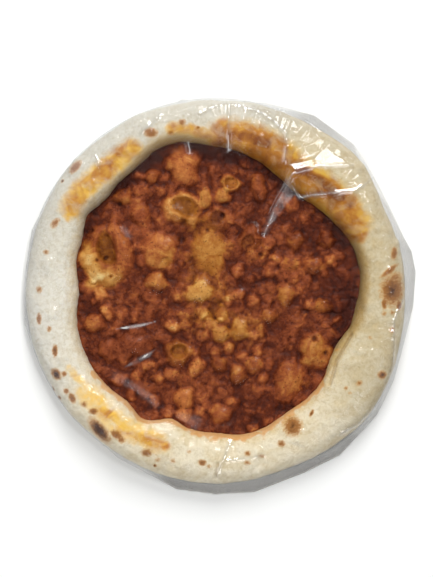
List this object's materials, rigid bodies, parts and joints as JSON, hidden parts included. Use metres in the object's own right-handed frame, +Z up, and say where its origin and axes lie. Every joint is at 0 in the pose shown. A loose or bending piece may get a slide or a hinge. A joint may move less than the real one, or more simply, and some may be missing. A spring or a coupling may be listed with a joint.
{
  "type": "bagged par-baked pizza base with tomato sauce",
  "caption": "Round par-baked pizza base with a thick raised rim and a well of baked tomato sauce, sealed in a clear film bag.",
  "frame": {"origin": "middle of the bag's outline, on the flat underside", "axes": "+Z up out of the sauce, +X to the right and +Y away when seen from above"},
  "size_m": [0.2904, 0.2935, 0.025],
  "materials": {
    "crust": "floury par-baked bread crust, cream with golden stains and small dark bake spots",
    "sauce": "baked tomato sauce, dark red-brown with orange and yellow blisters, slightly oily",
    "film": "thin clear crinkled packing film, glossy"
  },
  "bodies": {
    "root": {"bagged_pizza_base": "crust"}
  },
  "joints": []
}
